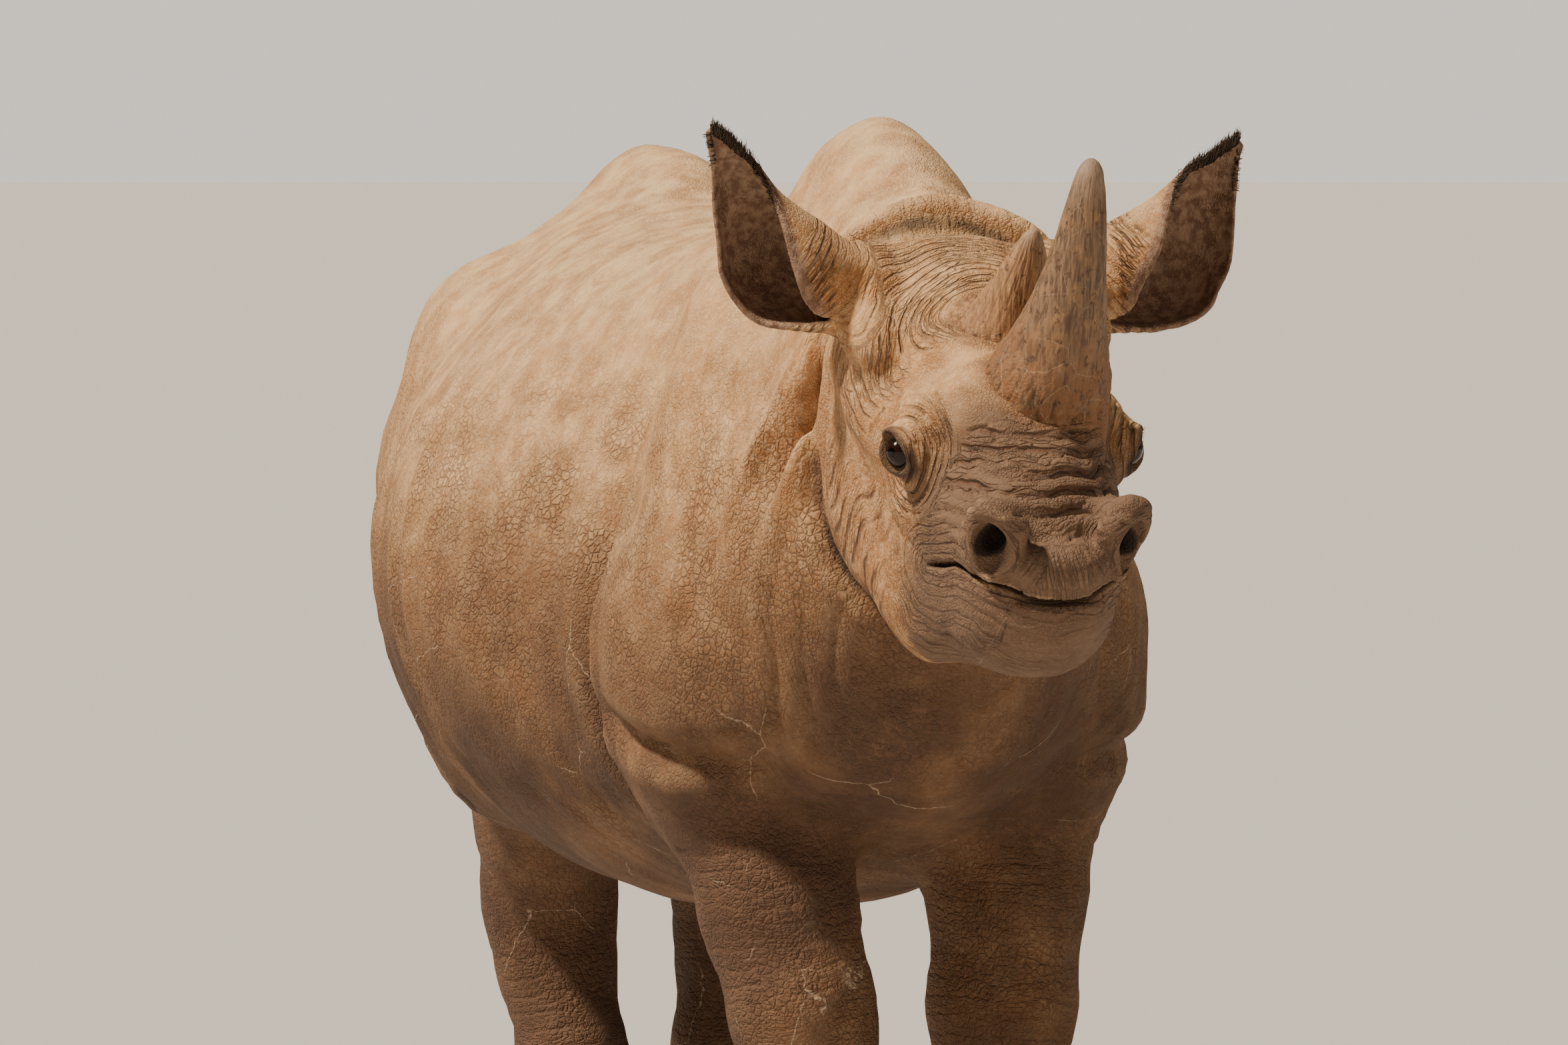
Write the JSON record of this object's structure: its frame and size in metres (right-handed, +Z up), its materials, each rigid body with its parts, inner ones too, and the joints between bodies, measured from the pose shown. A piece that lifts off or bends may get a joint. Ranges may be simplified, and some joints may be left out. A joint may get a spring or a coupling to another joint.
{
  "type": "black rhinoceros",
  "caption": "Life-size standing black rhinoceros with its head raised, ears forward, and a horn in front of a shorter horn.",
  "frame": {"origin": "middle of the bounding box, on the ground between the four feet", "axes": "+X the way the animal faces, +Y its left, +Z up"},
  "size_m": [3.0584, 0.9886, 1.6226],
  "materials": {
    "hide": "dry dusty wrinkled skin",
    "horn": "worn fibrous horn",
    "eye": "wet and glossy",
    "nail": "dusty hoof horn"
  },
  "bodies": {
    "root": {"torso": "hide", "neck": "hide", "head": "hide", "ear_left": "hide", "ear_right": "hide", "tail": "hide", "leg_fore_left": "hide", "leg_fore_right": "hide", "leg_hind_left": "hide", "leg_hind_right": "hide", "horn_front": "horn", "horn_rear": "horn", "eye_left": "eye", "eye_right": "eye", "hoof_fore_left_1": "nail", "hoof_fore_left_2": "nail", "hoof_fore_left_3": "nail", "hoof_fore_right_1": "nail", "hoof_fore_right_2": "nail", "hoof_fore_right_3": "nail", "hoof_hind_left_1": "nail", "hoof_hind_left_2": "nail", "hoof_hind_left_3": "nail", "hoof_hind_right_1": "nail", "hoof_hind_right_2": "nail", "hoof_hind_right_3": "nail"}
  },
  "joints": []
}
